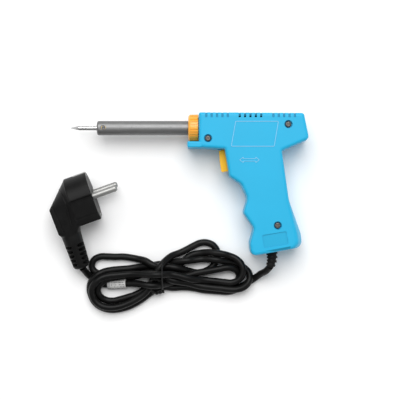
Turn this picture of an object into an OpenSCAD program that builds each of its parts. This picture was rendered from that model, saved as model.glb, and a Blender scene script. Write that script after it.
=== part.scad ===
// Pistol soldering iron with a boost trigger, lying on its side, with its mains lead tied in a hank.
// Drawn from the barrel: X runs back along the barrel axis from the front face of the head, Y runs up
// from that axis, Z is the thickness with the joint between the two casings at 0. place() then puts
// the origin under the middle of the iron, on the surface that it lies on.

/* [Head] */
// Length of the head from its front face to its rear corner
head_len = 83; // [76:0.5:96]
// Height of the head's top edge above the barrel axis
head_top = 11.4; // [11:0.1:15]
// Thickness of the whole casing
casing_w = 30; // [28:0.5:38]
// Thickness of the casing walls
wall = 2.2; // [1.8:0.1:2.8]
// Radius of the rounded edge around each side face
edge_r = 2.3; // [1.5:0.1:2.8]
// Width of one cooling slot
vent_w = 1.6; // [0.8:0.1:1.8]
// Distance from one cooling slot to the next
vent_pitch = 4; // [3.2:0.1:4.5]
// How far the raised lines stand out of the front casing
mark_h = 0.3; // [0.2:0.05:0.5]

/* [Grip] */
// Length of the grip from the barrel axis to its end, along its back
grip_len = 96; // [86:0.5:116]
// Lean of the grip, in degrees
grip_lean = 9.5; // [6:0.5:12]
// How far the heel of the grip swells out at the joint between the casings
heel_swell = 4; // [0:0.5:6]

/* [Barrel] */
// Outside diameter of the barrel tube
barrel_d = 10.9; // [9:0.1:11.2]
// Wall of the barrel tube
barrel_wall = 0.6; // [0.4:0.1:0.8]
// Length of the barrel in front of the head
barrel_len = 76.9; // [60:0.5:95]
// Diameter of the bit
bit_d = 3.5; // [2.5:0.1:4]
// Length of the bit in front of the barrel
bit_out = 20; // [14:0.5:34]
// Length of the bit's pointed end
bit_point = 6.4; // [4:0.2:9]

/* [Collar nut] */
// Outside diameter of the collar nut
collar_d = 20.6; // [20.2:0.1:21]
// Length of the collar nut
collar_len = 7.6; // [6.5:0.1:9]
// Diameter of the threaded nose that the nut screws onto
nose_d = 16; // [15:0.1:17]
// Pitch of the nose thread
collar_pitch = 2; // [1.5:0.1:2.2]

/* [Trigger] */
// Width of the trigger
trigger_w = 10; // [7:0.5:12]
// Angle that the trigger swings through, in degrees
trigger_swing = 11; // [6:0.5:12]

/* [Fasteners] */
// Diameter of the casing screws
screw_d = 2.6; // [2:0.1:3]
// Diameter of the casing screws' heads
screw_head_d = 4.7; // [4:0.1:5.4]

/* [Lead and plug] */
// Diameter of the mains lead
cord_d = 5.2; // [4.8:0.1:5.6]
// Diameter of the plug's contact pins
plug_pin_d = 4.8; // [4:0.1:4.8]
// Length of the plug's contact pins
plug_pin_len = 19; // [17:0.5:20]
// Diameter of the plug's face
plug_face_d = 36.6; // [35:0.1:39]

/* [Fits] */
// Gap round a part that turns or slides in another
running_gap = 0.05; // [0.02:0.01:0.1]
// Gap between parts that only pass each other
free_gap = 0.3; // [0.25:0.05:0.5]
// Gap between a part and the seat that it is laid in
seat_gap = 0.1; // [0.05:0.01:0.15]

/* [Hidden] */
$fn = 48;

blue = [0.27, 0.75, 0.92];
yellow = [0.99, 0.72, 0.30];
amber = [0.94, 0.71, 0.25];
steel = [0.62, 0.62, 0.63];
black = [0.10, 0.10, 0.10];

half_w = casing_w / 2;
barrel_r = barrel_d / 2;
// The barrel is a little slimmer where the casing holds it
barrel_seat_d = barrel_d - 0.7;
bit_r = bit_d / 2;
cord_r = cord_d / 2;
screw_r = screw_d / 2;

// ---- Grip axes: s runs back across the grip, t runs down it from the barrel axis ----
grip_x = 37;
function grip(s, t) = [grip_x + s * cos(grip_lean) + t * sin(grip_lean),
    s * sin(grip_lean) - t * cos(grip_lean)];
module in_grip(s = 0, t = 0) {
    translate(concat(grip(s, t), 0)) rotate([0, 0, grip_lean]) children();
}

// ---- Casing outline: corners as [x, y, radius], clockwise, and how far each follows the heel ----
chin_out = 8.4;
chin_top = -collar_d / 2 - 0.4;
chin_low = -15.3;
function corner(p, r, swell = 0) = [p[0], p[1], r, swell];
body_corners = [
    corner([0, head_top], 1.5),
    corner([head_len - 4, head_top - 0.5], 2.5),
    corner([head_len, -9], 3.5),
    corner(grip(22, 22) + [0.3, 0.3], 1.5),
    corner(grip(22, grip_len - 37), 20, 0.2),
    corner(grip(26.6, grip_len - 11), 12, 1),
    corner(grip(26.6, grip_len), 6, 1),
    corner(grip(-14, grip_len), 4.5),
    corner(grip(-13.4, grip_len - 10), 7),
    corner(grip(-8.4, grip_len - 20.5), 5),
    corner(grip(-14.4, grip_len - 33.5), 4),
    corner(grip(-9.4, 52.5), 8),
    corner(grip(-12.5, 41.3), 5),
    corner(grip(-20.1, 34.2), 3.5),
    corner(grip(-20.1, 13.6), 0.5)];
casing_corners = concat(body_corners, [corner([0, chin_low - 0.2], 1)]);

// Corners moved in at the heel as the section climbs from the joint (0) to the side face (1)
function swelled(corners, climb) =
    [for (c = corners) [c[0] - heel_swell * c[3] * climb * cos(grip_lean), c[1], c[2]]];
function unit(v) = v / norm(v);
function flat(p) = [p[0], p[1]];
function inward(a, b) = let (d = unit(flat(b) - flat(a))) [d[1], -d[0]];
steps = 5;
// Points of one corner: both edges are moved in by `inset`, and an arc joins them
function corner_arc(a, b, c, inset) =
    let (n1 = inward(a, b), n2 = inward(b, c), mitre = (n1 + n2) / (1 + n1 * n2),
        turn = atan2(n1[0] * n2[1] - n1[1] * n2[0], n1 * n2), side = turn < 0 ? 1 : -1,
        r = max(b[2] - side * inset, 0.4), centre = flat(b) + mitre * (inset + side * r),
        start = atan2(n1[1], n1[0]))
    [for (k = [0:steps]) let (angle = start + turn * k / steps)
        centre - side * r * [cos(angle), sin(angle)]];
function outline(corners, inset = 0, climb = 0) =
    let (c = swelled(corners, climb), n = len(c))
    [for (i = [0:n - 1]) each corner_arc(c[(i + n - 1) % n], c[i], c[(i + 1) % n], inset)];

// Where the origin goes: under the middle of the iron without its lead
casing_ring = outline(casing_corners);
x_low = -barrel_len - bit_out;
x_high = max([for (p = casing_ring) p[0]]);
y_low = min([for (p = casing_ring) p[1]]);
y_high = max([for (p = casing_ring) p[1]]);
module place() {
    translate([-(x_low + x_high) / 2, -(y_low + y_high) / 2, half_w]) children();
}
// The same, for what lies on the surface: heights count from the surface
module on_table() {
    translate([-(x_low + x_high) / 2, -(y_low + y_high) / 2, 0]) children();
}

// ---- Sweeps ----
module skin(rings) {
    count = len(rings);
    sides = len(rings[0]);
    polyhedron(points = [for (ring = rings) each ring], faces = concat(
        [[for (j = [sides - 1:-1:0]) j]],
        [[for (j = [0:sides - 1]) (count - 1) * sides + j]],
        [for (i = [0:count - 2], j = [0:sides - 1]) let (a = i * sides + j,
            b = i * sides + (j + 1) % sides) each [[a, b, b + sides], [a, b + sides, a + sides]]]));
}
function along(path, i) = let (n = len(path))
    unit(path[min(i + 1, n - 1)] - path[max(i - 1, 0)]);
function across(path, i, last) = let (d = along(path, i)) unit(last - d * (last * d));
function frames(path, i, last) = i >= len(path) ? [] :
    let (side = across(path, i, last)) concat([side], frames(path, i + 1, side));
// A round tube of radius r along a list of points, which starts square to `up`
module tube(path, r, sides = 8, up = [0.1, 0.2, 1]) {
    side = frames(path, 0, up);
    skin([for (i = [0:len(path) - 1]) let (d = along(path, i), other = cross(d, side[i]))
        [for (k = [0:sides - 1]) let (a = 360 * k / sides)
            path[i] + r * (cos(a) * side[i] - sin(a) * other)]]);
}
// A smooth curve through hand-set points, cut into `cuts` steps between each two
function spline_at(a, b, c, d, t) = 0.5 * (2 * b + (c - a) * t + (2 * a - 5 * b + 4 * c - d) * t * t
    + (3 * b - a - 3 * c + d) * t * t * t);
function smooth(p, cuts = 4) = let (n = len(p)) concat([for (i = [0:n - 2], k = [0:cuts - 1])
    spline_at(p[max(i - 1, 0)], p[i], p[i + 1], p[min(i + 2, n - 1)], k / cuts)], [p[n - 1]]);

// ---- Turned parts round the barrel axis: profile points are [radius, x] ----
module turned(profile) {
    rotate([0, 90, 0]) rotate_extrude() polygon(profile);
}
module ring_x(x0, x1, r_out, r_in) {
    turned([[r_in, x0], [r_out, x0], [r_out, x1], [r_in, x1]]);
}
module rod_x(x0, x1, r) {
    translate([x0, 0, 0]) rotate([0, 90, 0]) cylinder(h = x1 - x0, r = r);
}
function arc(centre, r, from, to, n = 8) =
    [for (k = [0:n]) let (a = from + (to - from) * k / n) centre + r * [cos(a), sin(a)]];

// ---- Casings ----
nose_r = nose_d / 2;
collar_front = -collar_len - 0.2;
nose_len = collar_len - 1.6;
barrel_seat_r = barrel_seat_d / 2 + seat_gap;
barrel_step = collar_front - 0.3;
flange_r = nose_r + 0.3;
flange_x = wall + 0.2;
flange_t = 1.5;
barrel_back = 15;
cradle_x = 8.4;
cradle_t = 1.6;
draft = 0.35;
screw_spots = [[7.1, -8.5], [head_len - 16, 2], grip(9.6, grip_len - 19.8)];
boss_r = 3;
recess_r = screw_head_d / 2 + 0.75;
recess_depth = 2.4;
// How far a screw's thread bites into the plastic
thread_bite = 0.2;
screw_tip = -half_w + wall + 3;
trigger_pivot = grip(-18.5, 9.6);
pivot_pin_r = 1.25;
slot_half_w = trigger_w / 2 + 0.4;
slot_s = -24.5;
slot_top = 7.8;
slot_low = 33.2;
relief_s = 2.7;
relief_neck_r = 3.7;
relief_flange_r = 5;
relief_flange_t = 2;

// The outside of one half: it runs past the joint and past the side face, which cut it flat
module casing_skin() {
    // [height above the joint, inset of the outline there]
    levels = concat([for (h = [0, 0.4, 0.75, 1]) [h * (half_w - edge_r), draft * h]],
        [for (a = [22.5:22.5:90])
            [half_w - edge_r + edge_r * sin(a), draft + edge_r * (1 - cos(a))]]);
    ends = concat([[-1, 0]], levels, [[half_w + 1, draft + edge_r]]);
    skin([for (l = ends) let (climb = pow(max(0, min(1, l[0] / half_w)), 1.7))
        [for (p = outline(casing_corners, l[1], climb)) concat(p, l[0])]]);
}
// The chin stands out of the head's front face, under the collar nut
module half_chin() {
    r = edge_r / 2;
    tall = chin_top - chin_low;
    long = chin_out + wall;
    translate([-chin_out, chin_low, 0]) intersection() {
        linear_extrude(half_w) polygon(outline([corner([0, 0], 1.5), corner([0, tall], 0.8),
            corner([long, tall], 0.4), corner([long, -0.2], 0.4)]));
        rotate([90, 0, 90]) linear_extrude(long + 1) polygon(concat([[-1, 0]],
            arc([r, half_w - r], r, 180, 90, 4), arc([tall - r, half_w - r], r, 90, 0, 4), [[tall, 0]]));
        translate([0, tall + 1, 0]) rotate([90, 0, 0]) linear_extrude(tall + 2)
            polygon(concat([[0, 0]], arc([1.2, half_w - 1.2], 1.2, 180, 90, 4),
                [[long, half_w], [long, 0]]));
    }
}
module core(inset, h0, h1) {
    translate([0, 0, h0]) linear_extrude(h1 - h0) polygon(outline(casing_corners, inset, 1));
}
module vents(x0, through) {
    for (k = [0:4]) translate([x0 + k * vent_pitch - vent_w / 2, 0, 0]) difference() {
        translate([0, head_top - 4.2, half_w - 6]) cube([vent_w, 6, 8]);
        if (!through)
            translate([-1, 0, 0]) cube([vent_w + 2, head_top - 1.2, half_w - 1.5]);
    }
}
// Everything inside the casing's skin: walls, bosses and seats, with no outer shape of its own.
// The first child is cut away, and the second stands on the side face.
module casing_inside() {
    difference() {
        union() {
            children(1);
            difference() {
                translate([-20, -150, 0]) cube([180, 200, half_w]);
                core(wall + draft, -1, half_w - wall);
            }
            translate([cradle_x, -chin_out - 4, 0]) cube([cradle_t, 20, half_w - 1]);
            for (s = screw_spots) translate(concat(s, 0)) {
                cylinder(h = half_w - 1, r = boss_r);
                translate([0, 0, half_w - recess_depth - 1.5])
                    cylinder(h = recess_depth + 0.5, r = recess_r + 1);
            }
            translate(concat(trigger_pivot, slot_half_w + seat_gap))
                cylinder(h = half_w - slot_half_w - 1, r = pivot_pin_r + 1.4);
        }
        rod_x(-1, barrel_back + 1, barrel_seat_r);
        rod_x(flange_x - seat_gap, flange_x + flange_t + seat_gap, flange_r + seat_gap);
        translate(concat(trigger_pivot, -1)) cylinder(h = half_w - wall + 1, r = pivot_pin_r + 0.02);
        in_grip(slot_s, slot_top) translate([0, slot_top - slot_low, -1])
            cube([8.6, slot_low - slot_top, slot_half_w + 1]);
        in_grip(relief_s, grip_len) rotate([90, 0, 0]) translate([0, 0, -wall - 3])
            cylinder(h = wall + 5, r = relief_neck_r + seat_gap);
        in_grip(relief_s, grip_len - wall - draft - relief_flange_t - seat_gap) rotate([90, 0, 0])
            cylinder(h = relief_flange_t + 2 * seat_gap, r = relief_flange_r + seat_gap);
        vents(5.8, false);
        vents(head_len - 52.3, true);
        vents(head_len - 27.2, false);
        children(0);
    }
}
// Half of the threaded nose that the collar nut screws onto
module half_nose() {
    intersection() {
        ring_x(-nose_len, wall, nose_r, barrel_seat_r);
        translate([-20, -nose_r - 1, 0]) cube([40, nose_d + 2, nose_r + 1]);
    }
}
lip_t = 1;
lip_h = 1.2;
// The lip stops short of the front wall, whose middle is the nose
module front_wall(depth) {
    translate([-1, chin_low - 1, -2]) cube([wall + depth + 1, head_top - chin_low + 2, 11]);
}
module lip_clear() {
    front_wall(2.2);
    in_grip(slot_s - 1, slot_top) translate([0, slot_top - slot_low - 2, -1])
        cube([13, slot_low - slot_top + 2, 9]);
    in_grip(relief_s, grip_len) translate([-relief_flange_r - 1, -2, -1])
        cube([2 * relief_flange_r + 2, 8, 9]);
    vents_clear();
}
module vents_clear() {
    translate([head_len - 54, head_top - wall - 2, -1]) cube([20, 4, 9]);
}
module shell_back() {
    color(blue) place() {
        mirror([0, 0, 1]) {
            intersection() {
                casing_skin();
                casing_inside() {
                    for (s = screw_spots) translate(concat(s, -1))
                        cylinder(h = 2 - screw_tip, r = screw_r - thread_bite);
                    union() {}
                }
            }
            half_nose();
            half_chin();
            shell_posts();
        }
        difference() {
            core(wall + draft - lip_t, -0.5, lip_h);
            core(wall + draft, -1, lip_h + 1);
            lip_clear();
        }
    }
}
module shell_front() {
    color(blue) place() {
        intersection() {
            casing_skin();
            casing_inside() {
                union() {
                    lip_groove();
                    for (s = screw_spots) translate(concat(s, 0)) {
                        translate([0, 0, -1]) cylinder(h = casing_w, r = screw_r + seat_gap);
                        translate([0, 0, half_w - recess_depth]) cylinder(h = 9, r = recess_r);
                    }
                    label_recess();
                }
                marks();
            }
        }
        half_nose();
        half_chin();
    }
}
module lip_groove() {
    difference() {
        core(wall + draft - lip_t - seat_gap, -1, lip_h + 0.2);
        core(wall + draft + 0.5, -2, lip_h + 1);
        for (s = screw_spots) translate(concat(s, -2)) cylinder(h = 5, r = boss_r);
        front_wall(2);
    }
}
// Shallow panel near the end of the grip
module label_recess() {
    in_grip(-3.2, grip_len - 4.8) translate([0, 0, half_w - 0.6])
        linear_extrude(2) polygon(outline([corner([0, 0], 1.2), corner([0, 9.8], 1.2),
            corner([18.5, 9.8], 1.2), corner([18.5, 0], 1.2)]));
}
// Raised rim of the rating plate, and a double-headed arrow for the two heat settings
module raised_line(corners, line) {
    translate([0, 0, half_w - 1]) linear_extrude(1 + mark_h) difference() {
        polygon(outline(corners));
        polygon(outline(corners, line));
    }
}
module marks() {
    raised_line([for (p = [[24.1, -14.7], [27.5, 4.4], [59.8, 4.4], [56.6, -14.7]])
        corner(p, 0.9)], 0.5);
    quarter = [[-7.6, 0], [-4.4, 2.5], [-4.4, 1.1]];
    arrow = concat(quarter, [for (p = [2, 1, 0]) [-quarter[p][0], quarter[p][1]]],
        [for (p = [1, 2]) -quarter[p]], [for (p = [2, 1]) [quarter[p][0], -quarter[p][1]]]);
    translate([38, -24.6, 0]) raised_line([for (p = arrow) corner(p, 0.41)], 0.4);
}

// ---- Posts inside the back casing ----
clamp_screw_r = 1.2;
clamp_t = grip_len - 13.4;
clamp_reach = 6.2;
clamp_spots = [grip(relief_s - clamp_reach, clamp_t), grip(relief_s + clamp_reach, clamp_t)];
switch_t = 19;
switch_s = -10.6;
switch_size = [13, 9, 6.4];
block_at = [38, -3];
block_size = [17, 9, 8];
spring_t = 27.2;
spring_s = -5.4;
module shell_posts() {
    for (s = clamp_spots) translate(concat(s, 0)) difference() {
        translate([0, 0, cord_r + 0.4]) cylinder(h = half_w - 1 - cord_r - 0.4, r = 2.4);
        cylinder(h = half_w - wall, r = clamp_screw_r - thread_bite);
    }
    switch_floor = switch_size[2] / 2 + seat_gap;
    in_grip(switch_s + 1, switch_t) translate([0, -switch_size[1] / 2, switch_floor])
        cube([switch_size[0] - 2, switch_size[1], half_w - 1 - switch_floor]);
    block_floor = block_size[2] / 2 + seat_gap;
    translate([block_at[0] + 1, block_at[1] + 1, block_floor])
        cube([block_size[0] - 2, block_size[1] - 2, half_w - 1 - block_floor]);
    in_grip(spring_s, spring_t) translate([0, -2.5, -3]) cube([1.6, 5, half_w + 2]);
}

// ---- Casing screws: pan heads with a cross slot ----
module cross_screw(head_r, head_h, shank_r, shank_len) {
    difference() {
        union() {
            rotate_extrude() polygon(concat([[0, 0], [head_r, 0], [head_r, head_h * 0.4]],
                arc([head_r - head_h * 0.6, head_h * 0.4], head_h * 0.6, 0, 90, 5), [[0, head_h]]));
            translate([0, 0, -shank_len]) cylinder(h = shank_len + 0.1, r = shank_r);
        }
        for (a = [45, 135]) rotate([0, 0, a]) translate([-head_r * 0.62, -0.35, head_h - 0.9])
            cube([head_r * 1.24, 0.7, 2]);
    }
}
module shell_screws() {
    seat = half_w - recess_depth;
    color(steel) place() for (s = screw_spots) translate(concat(s, seat))
        cross_screw(screw_head_d / 2, 1.7, screw_r, seat - screw_tip);
}

// ---- Collar nut and its washer ----
collar_r = collar_d / 2;
collar_hole_r = barrel_r + free_gap;
washer_t = 0.7;
module collar_nut() {
    step = collar_front + 0.8;
    color(yellow) place() difference() {
        turned(concat([[collar_hole_r, collar_front]],
            arc([collar_r - 2, collar_front + 2], 2, -90, 0, 8),
            [[collar_r, -0.5], [collar_r - 0.3, -0.2], [nose_r + running_gap, -0.2],
            [nose_r + running_gap, step], [collar_hole_r, step]]));
        // Grip: eight groups of three grooves, with smooth lands between
        for (g = [0:7], k = [-1:1]) rotate([g * 45 + 22.5 + k * 12, 0, 0])
            translate([collar_front + 1.4, collar_r - 0.42, -0.5]) cube([collar_len, 2, 1]);
    }
}
module collar_washer() {
    x0 = collar_front + 0.8 + seat_gap;
    color(steel) place() ring_x(x0, x0 + washer_t, nose_r - seat_gap, collar_hole_r);
}

// ---- Barrel ----
// The front end is rolled in to a smaller mouth
roll = 1.5;
mouth_r = barrel_r - roll - 0.3;
module barrel_tube() {
    in_r = barrel_r - barrel_wall;
    color(steel) place() difference() {
        turned(concat([[mouth_r, -barrel_len]],
            arc([barrel_r - roll, -barrel_len + roll], roll, -90, 0, 6),
            [[barrel_r, barrel_step], [barrel_seat_d / 2, barrel_step],
            [barrel_seat_d / 2, barrel_back], [in_r, barrel_back], [in_r, -barrel_len + roll],
            [mouth_r, -barrel_len + roll]]));
        translate([clamp_x, 0, 0]) cylinder(h = barrel_d, r = set_screw_r + 0.3);
    }
}
module barrel_flange() {
    color(steel) place() ring_x(flange_x, flange_x + flange_t, flange_r, barrel_seat_d / 2 + 0.02);
}

// ---- Bit, its bush and its set screw ----
clamp_x = -barrel_len + 5.2;
set_screw_r = 1.5;
bush_x = -barrel_len + roll + seat_gap;
bush_len = 9;
bush_r = barrel_r - barrel_wall - running_gap;
bit_hole_r = bit_r + running_gap;
bit_back = bush_x + bush_len + 34;
module bit() {
    tip_x = -barrel_len - bit_out;
    tip_r = 0.35;
    color(steel) place() difference() {
        turned(concat([[0, tip_x]], arc([0, tip_x + tip_r], tip_r, -90, -15, 4),
            [[bit_r, tip_x + bit_point], [bit_r, bit_back - 0.5], [bit_r - 0.5, bit_back],
            [0, bit_back]]));
        // Two flats make the point a blunt chisel
        for (side = [0, 180]) rotate([side, 0, 0]) translate([tip_x + bit_point * 0.8, 0, bit_r])
            rotate([0, -14, 0]) translate([-bit_point * 2, -bit_d, -0.35]) cube([bit_point * 2, bit_d * 2, 3]);
    }
}
module bit_bush() {
    color([0.7, 0.6, 0.35]) place() difference() {
        union() {
            ring_x(bush_x, bush_x + bush_len, bush_r, bit_hole_r);
            ring_x(-barrel_len + 0.3, bush_x + 0.1, mouth_r - seat_gap, bit_hole_r);
        }
        translate([clamp_x, 0, 0]) cylinder(h = barrel_d, r = set_screw_r + 0.02);
    }
}
module bit_clamp_screw() {
    foot = bit_r + seat_gap;
    top = barrel_r - 0.25;
    color(steel) place() translate([clamp_x, 0, foot]) difference() {
        cylinder(h = top - foot, r = set_screw_r);
        translate([-set_screw_r, -0.3, top - foot - 0.8]) cube([2 * set_screw_r, 0.6, 2]);
    }
}

// ---- Heater inside the barrel ----
core_x = bush_x + bush_len + 0.5;
core_len = 38;
core_r = 3.2;
coil_turns = 22;
coil_r = 0.3;
coil_pitch = (core_len - 8) / coil_turns;
sleeve_in_r = core_r + 2 * coil_r + seat_gap;
sleeve_r = barrel_r - barrel_wall - seat_gap;
bead_x = core_x + core_len + 0.4;
bead_len = 6;
lead_r = 0.8;
lead_y = 2.4;
module heater_core() {
    color("ivory") place() difference() {
        rod_x(core_x, core_x + core_len, core_r);
        rod_x(core_x - 1, core_x + core_len - 2, bit_hole_r + 0.1);
    }
}
// Resistance wire: its turns stand on the core as one wound layer
module heater_winding() {
    start = core_x + 4;
    color([0.5, 0.42, 0.38]) place() turned(concat([[core_r + 0.01, start]],
        [for (i = [0:coil_turns - 1], p = [[0, 0.02], [0.3, 0.4], [0.7, 0.4], [1, 0.02]])
            [core_r + 2 * coil_r * (p[1] + 0.5), start + (i + p[0] * 0.98) * coil_pitch]],
        [[core_r + 0.01, start + coil_turns * coil_pitch]]));
}
module heater_sleeve() {
    color([0.75, 0.68, 0.5]) place()
        ring_x(core_x + 2, core_x + core_len - 2, sleeve_r, sleeve_in_r);
}
module heater_bead() {
    color("ivory") place() difference() {
        rod_x(bead_x, bead_x + bead_len, sleeve_r);
        for (side = [-1, 1]) translate([0, side * lead_y, 0])
            rod_x(bead_x - 1, bead_x + bead_len + 1, lead_r + running_gap);
    }
}
module heater_leads() {
    back = [block_at[0] - 0.2, block_at[1] + block_size[1] / 2, 0];
    color([0.85, 0.83, 0.75]) place() for (side = [-1, 1])
        tube(smooth([[bead_x - 0.3, side * lead_y, 0], [-5, side * lead_y, 0],
            [14, side * lead_y, 0], [26, side * lead_y + 0.4, 0],
            [32, back[1] + side * 2.2, 0], back + [0, side * 2.2, 0]], 3), lead_r - 0.1);
}

// ---- Trigger, its pin and its spring ----
trigger_back = 4.5;
trigger_low = 20.2;
module trigger() {
    // In the grip's axes, from the pivot: x is s, y is -t
    blade = [[-5.6, -4.2], [-1.4, -3.4], [-3, 1], [0, 3], [3.4, 2], [trigger_back, -2],
        [trigger_back, -trigger_low + 1], [trigger_back - 1, -trigger_low],
        [-5.8, -trigger_low], [-6.6, -trigger_low + 1.2], [-6.3, -12]];
    color(amber) place() translate(concat(trigger_pivot, 0)) rotate([0, 0, grip_lean]) {
        difference() {
            union() {
                translate([0, 0, -trigger_w / 2]) linear_extrude(trigger_w) difference() {
                    polygon(blade);
                    translate([-0.6, -trigger_low + 2]) square([3.4, 9.6]);
                }
                translate([0, 0, -trigger_w / 2]) cylinder(h = trigger_w, r = pivot_pin_r + 1.9);
            }
            translate([0, 0, -trigger_w]) cylinder(h = 2 * trigger_w, r = pivot_pin_r + running_gap);
            // Fine grooves across the finger face
            for (k = [0:9]) translate([-6.75 + 0.02 * k, -5.6 - 1.4 * k, -trigger_w])
                cylinder(h = 2 * trigger_w, r = 0.42, $fn = 16);
        }
        // Seat that keeps the spring in line
        translate([trigger_back - 0.1, -spring_t + 9.6, 0]) rotate([0, 90, 0])
            cylinder(h = 1.6, r = spring_r - spring_wire_r - 0.3);
    }
}
module trigger_pin() {
    pin_half = half_w - wall - 0.1;
    color(steel) place() translate(concat(trigger_pivot, -pin_half))
        cylinder(h = 2 * pin_half, r = pivot_pin_r);
}
spring_r = 2.2;
spring_wire_r = 0.25;
spring_turns = 5;
module trigger_spring() {
    from = -18.5 + trigger_back + spring_wire_r + 0.02;
    to = spring_s - spring_wire_r - 0.02;
    cuts = spring_turns * 12;
    color(steel) place() in_grip(0, spring_t) tube([for (k = [0:cuts]) let (a = 360 * k / 12)
        [from + (to - from) * k / cuts, spring_r * cos(a), spring_r * sin(a)]],
        spring_wire_r, 6, [0, 1, 0.1]);
}

// ---- Boost switch, diode and terminal block ----
plunger_r = 1.2;
plunger_out = 3.1;
module switch_body() {
    color([0.15, 0.15, 0.17]) place() in_grip(switch_s, switch_t) difference() {
        translate([0, -switch_size[1] / 2, -switch_size[2] / 2]) cube(switch_size);
        rod_x(-1, 6, plunger_r + running_gap);
    }
}
module switch_plunger() {
    color("firebrick") place() in_grip(switch_s, switch_t) turned(concat([[0, -plunger_out]],
        arc([0, -plunger_out + plunger_r], plunger_r, -90, 0, 6), [[plunger_r, 3.4], [0, 3.4]]));
}
tab_size = [5, 0.8, 3];
module switch_terminals() {
    color([0.8, 0.65, 0.3]) place() in_grip(switch_s + switch_size[0], switch_t)
        for (k = [-1, 1]) translate([0, k * 2.6 - tab_size[1] / 2, -tab_size[2] / 2]) cube(tab_size);
}
diode_r = 2.6;
module diode() {
    spot = concat(grip(8, 12), 0);
    color([0.12, 0.12, 0.12]) place() translate(spot) rotate([0, 90, 0]) {
        translate([0, 0, -4.5]) cylinder(h = 9, r = diode_r);
        translate([0, 0, -9.5]) cylinder(h = 19, r = 0.6);
    }
}
module terminal_block() {
    color([0.92, 0.9, 0.84]) place() translate([block_at[0], block_at[1], -block_size[2] / 2])
        difference() {
            cube(block_size);
            for (k = [0, 1], side = [0.27, 0.73]) translate([block_size[0] * side,
                block_size[1] * (0.25 + 0.5 * k), 3]) cylinder(h = 9, r = 1.6 + seat_gap);
            translate([block_size[0] / 2 - 0.5, -1, block_size[2] - 2.5])
                cube([1, block_size[1] + 2, 3]);
        }
}
module terminal_screws() {
    color([0.8, 0.65, 0.3]) place() translate([block_at[0], block_at[1], -block_size[2] / 2])
        for (k = [0, 1], side = [0.27, 0.73]) translate([block_size[0] * side,
            block_size[1] * (0.25 + 0.5 * k), 3.1]) difference() {
                cylinder(h = 3.6, r = 1.6);
                translate([-2, -0.25, 3]) cube([4, 0.5, 2]);
            }
}

// ---- Wires and the lead's tail inside the grip ----
tail_top = grip_len - 25;
wire_r = 0.9;
function in_3d(p, z) = concat(p, z);
module supply_wires() {
    start = tail_top - 0.6;
    block_back = [block_at[0] + block_size[0] + 0.2, block_at[1] + block_size[1] / 2];
    tabs = switch_s + switch_size[0] + tab_size[0] + wire_r + 0.2;
    color([0.45, 0.25, 0.15]) place() {
        tube(smooth([in_3d(grip(relief_s - 1.2, start), 0.9), in_3d(grip(relief_s, start - 12), 1),
            in_3d(grip(tabs, 44), 0), in_3d(grip(tabs, 30), 0), in_3d(grip(tabs, 17.4), 0)], 3), wire_r);
    }
    color([0.2, 0.35, 0.7]) place() {
        tube(smooth([in_3d(grip(relief_s + 1.2, start), 0.9), in_3d(grip(10, start - 12), 3),
            in_3d(grip(13.5, 44), 3), in_3d(grip(16, 24), 3), in_3d(grip(19, 9), 2),
            in_3d(block_back + [4, 2.2], 0), in_3d(block_back + [0, 2.2], 0)], 3), wire_r);
    }
}
earth_ring_x = barrel_back - 3;
module earth_wire() {
    start = tail_top - 0.6;
    color([0.45, 0.7, 0.2]) place() tube(smooth([in_3d(grip(relief_s, start), -1.5),
        in_3d(grip(4, start - 14), -6), in_3d(grip(11, 44), -9), in_3d(grip(6, 16), -10),
        [32, -6, -10.5], [22, -1, -9.5], [earth_ring_x + 4.4, 0, -barrel_r - 1.2]], 3), wire_r);
}
module earth_ring() {
    color([0.8, 0.65, 0.3]) place() {
        ring_x(earth_ring_x - 1.5, earth_ring_x + 1.5, barrel_r + 0.5, barrel_seat_d / 2 + 0.02);
        translate([earth_ring_x, -1.5, -barrel_r - 2.1]) cube([3.4, 3, 1.8]);
    }
}
module cord_tail() {
    color(black) place() in_grip(relief_s, tail_top) rotate([90, 0, 0])
        cylinder(h = grip_len - tail_top - wall - draft - relief_flange_t - 0.2, r = cord_r);
}
module cord_clamp() {
    color([0.15, 0.15, 0.17]) place() in_grip(relief_s, clamp_t) difference() {
        translate([-clamp_reach - 2.4, -2.6, -cord_r - 0.2])
            cube([2 * clamp_reach + 4.8, 5.2, 2 * cord_r + 1.7]);
        translate([0, 5, 0]) rotate([90, 0, 0]) cylinder(h = 10, r = cord_r + 0.02);
        translate([-cord_r, -4, -cord_r - 1]) cube([2 * cord_r, 8, cord_r + 1]);
        for (side = [-1, 1]) translate([side * clamp_reach, 0, -9])
            cylinder(h = 20, r = clamp_screw_r + seat_gap);
    }
}
module clamp_screws() {
    color(steel) place() for (s = clamp_spots) translate(concat(s, cord_r + 1.52))
        cross_screw(2.1, 1.4, clamp_screw_r, 11);
}

// ---- Strain relief: flange and neck in the casing, four ribs outside on a slight bend ----
relief_root_r = 4.3;
relief_tip_r = 3.4;
relief_bend = 34;
relief_out = 11.5;
relief_sleeve = 5.5;
relief_cuts = 8;
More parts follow.
